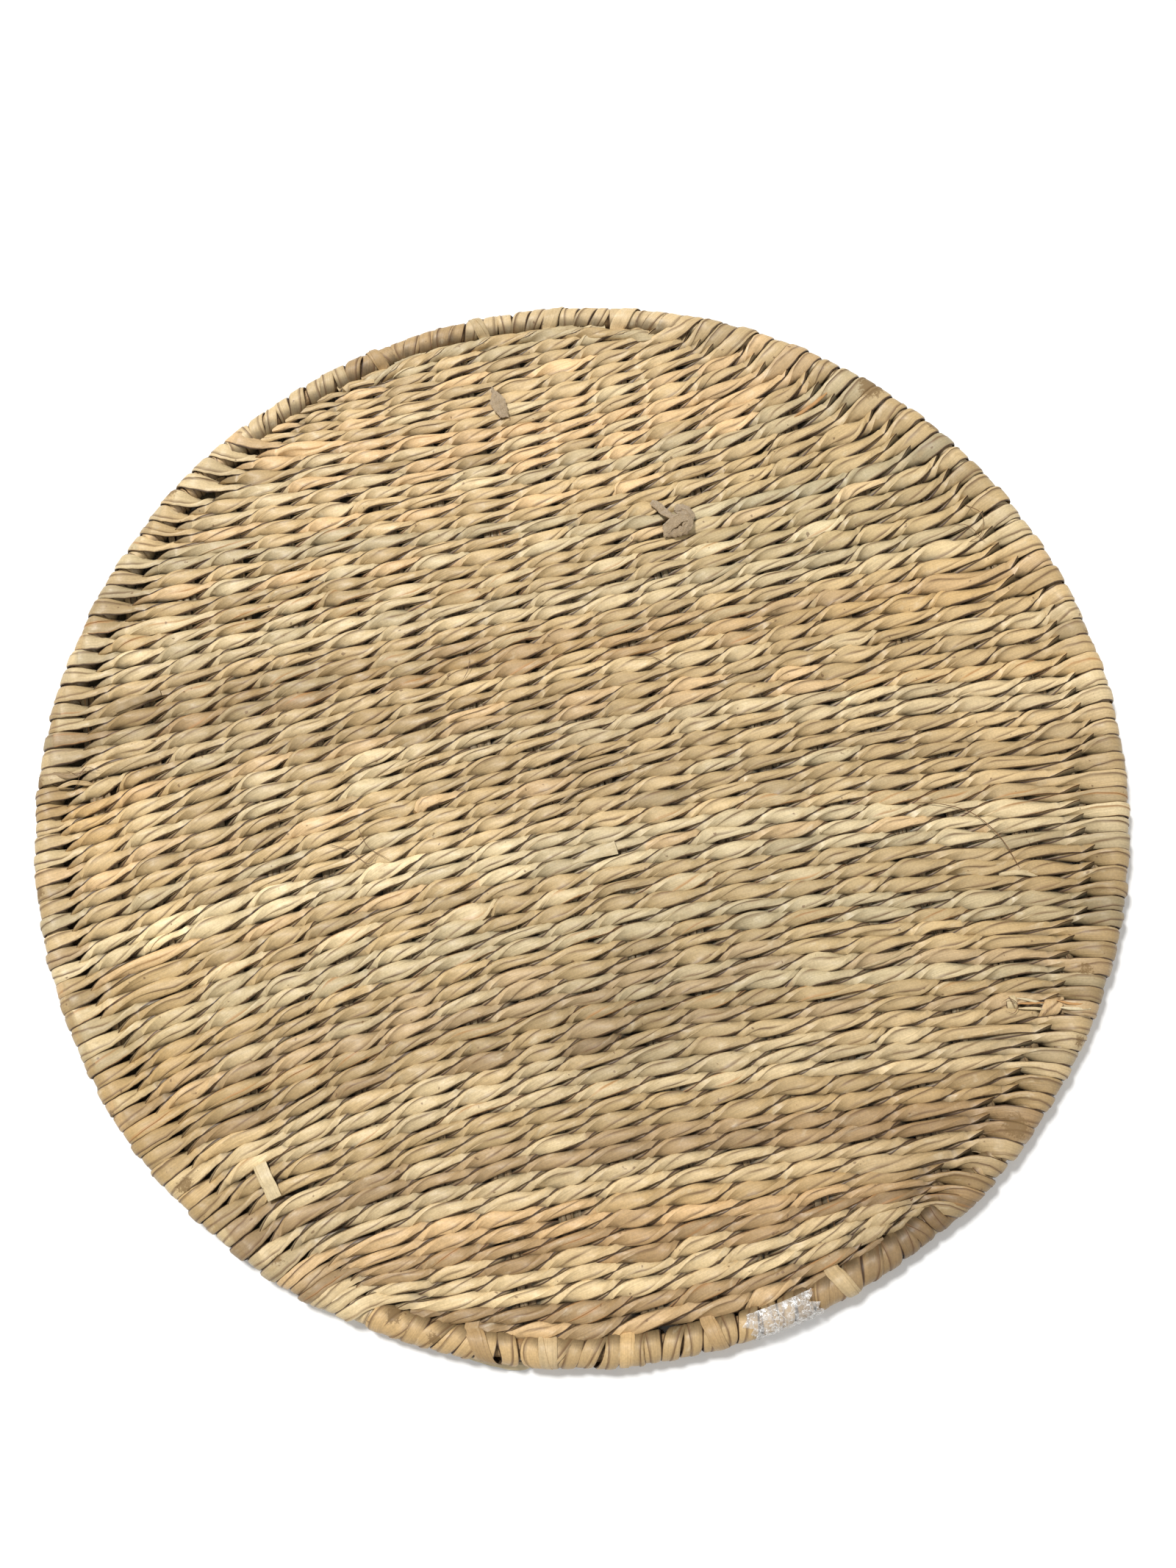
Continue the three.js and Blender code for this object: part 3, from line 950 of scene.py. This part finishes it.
def add_gap_shade_backing(material):
    """Painted shade: leaf strips laid low in the open gaps between the rows, dark so the gaps read as
    shade.
    """
    rng = dice(13)
    parts = []
    for (cx, cy), half_long, _ in PARTINGS:
        for side in (-1, 1):
            x = np.linspace(cx - half_long, cx + half_long, 5)
            y = cy + side * 1.6 + even_row_y(cy, x) - even_row_y(cy, cx)
            z = MIDDLE_HEIGHT - 1.2 + 0.5 * side + 0.5 * np.sin(x)
            line = np.stack([x, y, z], 1)
            line = line[np.hypot(x, y) < TUCK_RADIUS - 4]
            strip = laid_strip(line, 2.6, 0.4, taper=0.15)
            parts.append(build_strip(strip, rng, False, TAN))
    add_piece("gap_shade_backing", parts, material)


def add_splices(material):
    """Short strips bound round a row where new leaf was let in."""
    rng = dice(9)
    parts = []
    for (x, y), lean, half in SPLICES:
        turn = np.linspace(0, 2 * math.pi, 25)[:-1]
        strip = blank_strip(len(turn))
        strip["middle"][:, 0] = x + lean * np.sin(turn)
        strip["middle"][:, 1] = y + 2.75 * np.sin(turn)
        strip["middle"][:, 2] = MIDDLE_HEIGHT + 2.85 * np.cos(turn)
        strip["up"][:, 1] = np.sin(turn)
        strip["up"][:, 2] = np.cos(turn)
        strip["half"] *= half
        strip["dome"] *= 0.4
        strip["belly"] += 0.05
        parts.append(build_strip(strip, rng, True))
    add_piece("splice_wraps", parts, material)


def tube(points, radius, sides=6, step=0.8):
    """Vertices, faces and values of a thin round fibre through given points."""
    path = smooth_path(points, step)
    ahead = unit(np.gradient(path, axis=0))
    side = unit(np.cross(ahead, (0.13, 0.21, 1.0)))
    above = np.cross(side, ahead)
    turn = np.linspace(0, 2 * math.pi, sides, endpoint=False)
    taper = np.clip(np.minimum(np.arange(len(path)), np.arange(len(path))[::-1]) / 3, 0.3, 1)
    ring = np.cos(turn)[None, :, None] * side[:, None] + np.sin(turn)[None, :, None] * above[:, None]
    vertices = path[:, None] + radius * taper[:, None, None] * ring
    along = np.repeat(np.arange(len(path)) * step, sides)
    values = {"strip": np.stack([along, np.tile(turn, len(path)), np.zeros(len(along))], 1)}
    return vertices.reshape(-1, 3), ring_faces(len(path), sides, False), values


def add_fibres(material):
    """Stray plant hairs on the top."""
    parts = [tube(points, radius) for points, radius in FIBRES]
    add_piece("stray_fibres", parts, material)


def add_jute_tab(material):
    """A cut end of jute tape, pointed at the far end, that lies on the rows."""
    rng = dice(10)
    x, y, z = JUTE_TAB
    points = [(x - 1.2, y + 7.6, z + 0.1), (x - 0.8, y + 4, z + 0.5), (x - 0.1, y, z + 0.6),
              (x + 0.9, y - 3.6, z + 0.4), (x + 1.4, y - 7.2, z + 0.1)]
    strip = laid_strip(points, 2.3, 0.35, [(0.1, 0, 1), (-0.15, 0, 1), (0.1, 0, 1)], 0.4)
    share = np.linspace(0, 1, len(strip["half"]))
    strip["half"] = 0.25 + 2.9 * smooth(share / 0.55) * (1 - 0.45 * smooth((share - 0.5) / 0.5))
    part = build_strip(strip, rng, False)
    add_piece("jute_tape_end", [rumpled(part, rng, 0.2)], material, ["jute_tab"])


def rumpled(part, rng, amount):
    """The part with its points pushed about a little, as coarse cloth is."""
    vertices, faces, values = part
    waves = sum(np.sin(vertices @ rng.normal(0, 1.5, 3) + rng.uniform(0, 6))[:, None]
                * rng.normal(0, amount / 2, 3) for _ in range(6))
    return vertices + waves, faces, values


def add_jute_knot(material):
    """Jute tape tied once through the weave, with one end standing off."""
    rng = dice(11)
    parts = []
    for points, ups, half in KNOT_TAPES:
        placed = [(KNOT[0] + px, KNOT[1] + py, KNOT[2] + pz) for px, py, pz in points]
        strip = laid_strip(placed, half, 0.42, ups, 0.45, 0.06)
        parts.append(rumpled(build_strip(strip, rng, False), rng, 0.24))
    add_piece("jute_knot", parts, material, ["twine_knot"])


def add_tape(material):
    """Clear tape, crumpled over the top and the outside of the near binding."""
    rng = dice(12)
    angles = np.radians(np.linspace(*TAPE_ARC, 100))
    rounds = np.radians(np.linspace(128, -38, 60))
    creases = np.zeros((100, 60))
    u, v = np.meshgrid(np.linspace(0, 1, 100), np.linspace(0, 0.6, 60), indexing="ij")
    for _ in range(44):
        heading = rng.uniform(0, math.pi)
        place = u * math.cos(heading) + v * math.sin(heading) - rng.uniform(-0.2, 1.1)
        creases += rng.uniform(0.1, 0.3) * np.clip(1 - np.abs(place) / rng.uniform(0.015, 0.05), 0, 1)
    ragged = 0.02 * np.interp(np.arange(60), np.arange(0, 61, 6), rng.normal(0, 0.35, 11))
    angle = angles[:, None] + ragged[None] * np.abs(u * 2 - 1) ** 4
    lap = WRAP_OUTER + 0.35 + creases
    out = np.cos(rounds)[None] * lap
    up = np.sin(rounds)[None] * lap
    outer = np.stack([(HOOP_RADIUS + out) * np.cos(angle), (HOOP_RADIUS + out) * np.sin(angle),
                      MIDDLE_HEIGHT + up], -1)
    thin = 0.06 * np.stack([np.cos(rounds) * np.cos(angle), np.cos(rounds) * np.sin(angle),
                            np.sin(rounds) + 0 * angle], -1)
    add_piece("clear_tape", [closed_sheet(outer, outer - thin)], material,
              ["tape_patch"], sharp=20)


def closed_sheet(outer, inner):
    """One closed thin sheet from two grids of points, one above the other."""
    rows, columns = outer.shape[:2]
    index = np.arange(rows * columns).reshape(rows, columns)
    top = np.stack([index[:-1, :-1], index[1:, :-1], index[1:, 1:], index[:-1, 1:]], -1).reshape(-1, 4)
    base = rows * columns
    faces = top.tolist() + (top[:, ::-1] + base).tolist()
    rim = [*index[0, :], *index[1:, -1], *index[-1, -2::-1], *index[-2:0:-1, 0]]
    faces += [[a, b, b + base, a + base] for a, b in zip(rim, rim[1:] + rim[:1])]
    vertices = np.concatenate([outer.reshape(-1, 3), inner.reshape(-1, 3)])
    across = np.stack([np.repeat(np.arange(rows), columns), np.tile(np.arange(columns), rows),
                       np.zeros(base)], 1)
    return vertices, faces, {"strip": np.vstack([across, across])}


def add_hoop(material):
    """The cane inside the rim, a little uneven, with its knuckles."""
    rng = dice(5)
    around = np.linspace(0, 2 * math.pi, 360, endpoint=False)
    sides = np.linspace(0, 2 * math.pi, 14, endpoint=False)
    bumps = sum(rng.normal(0, 0.03) * np.sin(k * around + rng.uniform(0, 6)) for k in range(3, 12))
    knuckle = 0.18 * np.exp(-((np.sin(around * 4.5) / 0.06) ** 2))
    radius = (ROD_RADIUS - 0.05) + bumps + knuckle
    out = HOOP_RADIUS + radius[:, None] * np.cos(sides)
    up = MIDDLE_HEIGHT + radius[:, None] * np.sin(sides)
    points = np.stack([out * np.cos(around)[:, None], out * np.sin(around)[:, None], up], -1)
    count, ring = len(around), len(sides)
    faces = [face[::-1] for face in ring_faces(count, ring, True)]
    values = {"strip": np.stack([
        np.repeat(around * HOOP_RADIUS, ring), np.tile(sides, count), np.zeros(count * ring)], 1)}
    part = (points.reshape(-1, 3), faces, values)
    add_piece("hoop_cane", [part], material, ["rim_hoop"])


# ---- Materials ----


class Nodes:
    """Short hands for building a material's nodes."""

    def __init__(self, name):
        self.material = bpy.data.materials.new(name)
        self.material.use_nodes = True
        self.tree = self.material.node_tree
        self.shader = self.tree.nodes["Principled BSDF"]

    def add(self, kind, **settings):
        node = self.tree.nodes.new("ShaderNode" + kind)
        for key, value in settings.items():
            setattr(node, key, value)
        return node

    def put(self, socket, value):
        if isinstance(value, bpy.types.NodeSocket):
            self.tree.links.new(value, socket)
        else:
            socket.default_value = value

    def attribute(self, name, output):
        return self.add("Attribute", attribute_name=name).outputs[output]

    def place(self):
        return self.add("TexCoord").outputs["Object"]

    def maths(self, operation, value, *others):
        """The value with each of the others added, multiplied and so on in turn."""
        for other in others or (0.0,):
            node = self.add("Math", operation=operation)
            self.put(node.inputs[0], value)
            self.put(node.inputs[1], other)
            value = node.outputs[0]
        return value

    def grain(self, factors, detail=3.0, roughness=0.55):
        """Noise that is drawn out along a strip."""
        node = self.add("VectorMath", operation="MULTIPLY")
        self.put(node.inputs[0], self.attribute("strip", "Vector"))
        self.put(node.inputs[1], factors)
        return self.noise(node.outputs[0], 1.0, detail, roughness)

    def noise(self, vector, scale=1.0, detail=3.0, roughness=0.55):
        node = self.add("TexNoise")
        self.put(node.inputs["Vector"], vector)
        self.put(node.inputs["Scale"], scale)
        self.put(node.inputs["Detail"], detail)
        self.put(node.inputs["Roughness"], roughness)
        return node.outputs["Fac"]

    def ranged(self, value, low, high, to_low=0.0, to_high=1.0):
        node = self.add("MapRange", interpolation_type="SMOOTHSTEP")
        for socket, item in zip(node.inputs, (value, low, high, to_low, to_high)):
            self.put(socket, item)
        return node.outputs[0]

    def mix(self, share, a, b, blend="MIX"):
        node = self.add("Mix", data_type="RGBA", blend_type=blend)
        self.put(node.inputs[0], share)
        self.put(node.inputs[6], a)
        self.put(node.inputs[7], b)
        return node.outputs[2]

    def bump(self, height, strength, distance):
        node = self.add("Bump")
        self.put(node.inputs["Strength"], strength)
        self.put(node.inputs["Distance"], distance)
        self.put(node.inputs["Height"], height)
        return node.outputs["Normal"]

    def finish(self, colour, roughness, normal, **uniform):
        self.put(self.shader.inputs["Base Color"], colour)
        self.put(self.shader.inputs["Roughness"], roughness)
        self.put(self.shader.inputs["Normal"], normal)
        for key, value in uniform.items():
            self.shader.inputs[key.replace("_", " ")].default_value = value
        return self.material


VEIN_BROWN = (0.16, 0.085, 0.035, 1)
# Painted shadow: the near-black colour along strip edges, where the gaps between rows fall into shade,
# and its greatest share.
GAP_SHADOW_DARK = (0.05, 0.024, 0.009, 1)
GAP_SHADOW_SHARE = 0.92
EDGE_ORANGE = (0.42, 0.20, 0.06, 1)
BLOTCH_BROWN = (0.38, 0.25, 0.11, 1)
BLOTCH_PALE = (0.86, 0.76, 0.55, 1)
STAIN_BROWN = (0.20, 0.12, 0.045, 1)


def leaf_material(name, roughness, line_share):
    """Dried leaf: veins along the strip, blotches, pores, brown fold lines and stains, with a
    painted shadow along the strip edges.
    """
    n = Nodes(name)
    parts = n.add("SeparateXYZ")
    n.put(parts.inputs[0], n.attribute("strip", "Vector"))
    seed = parts.outputs[2]
    veins = n.grain((0.05, 7.0, 53.0), 4.0, 0.6)
    fine = n.grain((0.22, 17.0, 91.0), 3.0, 0.6)
    blotch = n.grain((0.15, 0.8, 37.0), 3.0, 0.6)
    place = n.place()
    pores = n.noise(place, 1400.0, 2.0, 0.5)
    colour = n.attribute("tint", "Color")
    colour = n.mix(n.ranged(blotch, 0.52, 0.78, 0.0, 0.45), colour, BLOTCH_BROWN)
    colour = n.mix(n.ranged(blotch, 0.22, 0.42, 0.28, 0.0), colour, BLOTCH_PALE)
    tone = n.maths("MULTIPLY", n.ranged(veins, 0.25, 0.75, 0.87, 1.09),
                   n.ranged(fine, 0.2, 0.8, 0.94, 1.05), n.ranged(pores, 0.3, 0.7, 0.92, 1.06))
    colour = n.mix(1.0, colour, tone, "MULTIPLY")
    crease_and_gap_shadow = n.attribute("crease_and_gap_shadow", "Fac")
    line = n.maths("MULTIPLY", n.ranged(crease_and_gap_shadow, 0.25, 0.5),
                   n.ranged(veins, 0.3, 0.6, 0.35, 1.0), line_share)
    edge = n.mix(n.ranged(seed, 0.90, 0.93), VEIN_BROWN, EDGE_ORANGE)
    colour = n.mix(line, colour, edge)
    # Painted shadow: a near-black line along the strip edges.
    colour = n.mix(n.ranged(crease_and_gap_shadow, 0.44, 0.74, 0.0, GAP_SHADOW_SHARE), colour, GAP_SHADOW_DARK)
    speck = n.ranged(n.noise(place, 420.0, 1.0, 0.4), 0.745, 0.79)
    colour = n.mix(n.maths("MULTIPLY", speck, 0.7), colour, VEIN_BROWN)
    ragged = n.maths("ADD", n.attribute("stain", "Fac"), n.noise(place, 900.0, 5.0, 0.75))
    stain = n.ranged(ragged, 0.82, 1.0, 0.0, 0.85)
    colour = n.mix(stain, colour, STAIN_BROWN)
    rough = n.maths("ADD", roughness, n.maths("MULTIPLY", n.ranged(blotch, 0.3, 0.7), 0.16),
                    n.maths("MULTIPLY", stain, 0.3))
    height = n.maths("ADD", veins, n.maths("MULTIPLY", fine, 0.6),
                     n.maths("MULTIPLY", pores, 0.15))
    return n.finish(colour, rough, n.bump(height, 0.45, 0.00022), Coat_Weight=0.06,
                    Coat_Roughness=0.3, Sheen_Weight=0.03, Sheen_Roughness=0.4)


def jute_material():
    """Coarse matt tape: fine felted threads, paler where they stand up."""
    n = Nodes("jute_tape")
    threads = n.grain((1.4, 5.0, 9.0), 4.0, 0.7)
    felt = n.noise(n.place(), 2600.0, 4.0, 0.75)
    colour = n.mix(n.ranged(threads, 0.3, 0.7), (0.42, 0.28, 0.14, 1), (0.62, 0.45, 0.25, 1))
    colour = n.mix(n.ranged(felt, 0.5, 0.75, 0.0, 0.5), colour, (0.70, 0.54, 0.34, 1))
    height = n.maths("ADD", threads, felt)
    return n.finish(colour, n.ranged(felt, 0.2, 0.8, 0.8, 0.95), n.bump(height, 0.9, 0.0009),
                    Sheen_Weight=0.35, Sheen_Roughness=0.6)


def fibre_material():
    n = Nodes("plant_hair")
    tone = n.grain((0.4, 1.0, 1.0), 2.0)
    colour = n.mix(n.ranged(tone, 0.3, 0.7), (0.10, 0.05, 0.02, 1), (0.26, 0.14, 0.06, 1))
    return n.finish(colour, n.ranged(tone, 0.2, 0.8, 0.4, 0.6), n.bump(tone, 0.2, 0.0001))


def tape_material():
    """Clear film, milkier and brighter where it is creased."""
    n = Nodes("clear_film")
    place = n.place()
    wrinkle = n.noise(place, 500.0, 4.0, 0.7)
    colour = n.mix(n.ranged(wrinkle, 0.4, 0.7), (0.86, 0.84, 0.80, 1), (0.96, 0.95, 0.93, 1))
    film = n.finish(colour, n.ranged(wrinkle, 0.3, 0.7, 0.06, 0.16), n.bump(wrinkle, 0.5, 0.0004),
                    Coat_Weight=0.6, Coat_Roughness=0.05)
    apart = n.maths("ABSOLUTE", n.maths("SUBTRACT", n.noise(place, 330.0, 3.0, 0.6), 0.5))
    fold = n.ranged(apart, 0.0, 0.025, 0.55, 0.0)
    n.put(n.shader.inputs["Alpha"], n.maths("ADD", fold, n.ranged(wrinkle, 0.4, 0.7, 0.12, 0.34)))
    return film


def cane_material():
    n = Nodes("peeled_cane")
    grain = n.grain((0.06, 6.0, 1.0), 4.0)
    colour = n.mix(n.ranged(grain, 0.3, 0.7), (0.30, 0.17, 0.075, 1), (0.46, 0.30, 0.14, 1))
    return n.finish(colour, n.ranged(grain, 0.2, 0.8, 0.5, 0.7), n.bump(grain, 0.4, 0.0003))


def floor_material():
    n = Nodes("pale_floor")
    tone = n.noise(n.place(), 3.0, 2.0)
    colour = n.mix(tone, (0.90, 0.90, 0.89, 1), (0.92, 0.92, 0.915, 1))
    return n.finish(colour, n.ranged(tone, 0, 1, 0.7, 0.8), n.bump(tone, 0.02, 0.0005))


# ---- Stage ----


def add_floor():
    mesh = bpy.data.meshes.new("floor")
    reach = 6.0
    corners = [(-reach, -reach, 0), (reach, -reach, 0), (reach, reach, 0), (-reach, reach, 0)]
    mesh.from_pydata(corners, [], [(0, 1, 2, 3)])
    mesh.materials.append(floor_material())
    floor = add_object("floor", mesh)


def add_light(name, place, size, power):
    light = bpy.data.lights.new(name, "AREA")
    light.shape = "DISK"
    light.size = size
    light.energy = power
    lamp = add_object(name, light)
    lamp.location = place
    lamp.rotation_euler = (-Vector(place)).to_track_quat("-Z", "Y").to_euler()


def add_world():
    world = bpy.data.worlds.new("studio")
    world.use_nodes = True
    background = world.node_tree.nodes["Background"]
    background.inputs["Color"].default_value = (1, 0.99, 0.97, 1)
    background.inputs["Strength"].default_value = 0.372
    bpy.context.scene.world = world


def add_camera():
    """Held by hand above the near edge, turned a little, with a phone's wide lens."""
    elevation = math.radians(74.5)
    turn = math.radians(-10.33)
    forward = Vector((0, math.cos(elevation), -math.sin(elevation)))
    right = Vector((1, 0, 0))
    above = right.cross(forward)
    across = right * math.cos(turn) + above * math.sin(turn)
    up = above * math.cos(turn) - right * math.sin(turn)
    camera = add_object("camera", bpy.data.cameras.new("camera"))
    camera.data.lens = 27.0
    camera.data.sensor_width = 36.0
    camera.data.clip_start = 0.01
    place = Vector((5.6, -120.2, 422.5)) * METRES
    turned = Matrix((across, up, -forward)).transposed().to_4x4()
    camera.matrix_world = Matrix.Translation(place) @ turned
    bpy.context.scene.camera = camera


bpy.context.scene.view_settings.view_transform = "Standard"
add_camera()
add_world()
add_floor()
add_light("key", (-0.45, 0.8, 1.7), 0.35, 36)
add_light("fill", (0.9, -0.9, 1.5), 1.2, 8)

leaf = leaf_material("dried_leaf", 0.47, 0.85)
stake_leaf = leaf_material("stake_leaf", 0.55, 0.9)
for index in range(COURSES):
    add_course(index, leaf)
for index in range(STAKES):
    add_stake(index, stake_leaf)
add_hoop(cane_material())
add_binding("far_wraps", FAR_ARC, "far_binding", leaf)
add_binding("near_wraps", NEAR_ARC, "near_binding", leaf)
add_base_wraps(leaf)
add_far_border(leaf)
add_crossing_wraps(leaf)
add_loose_ends(leaf)
add_gap_shade_backing(leaf)
add_splices(leaf)
jute = jute_material()
add_jute_tab(jute)
add_jute_knot(jute)
add_fibres(fibre_material())
add_tape(tape_material())
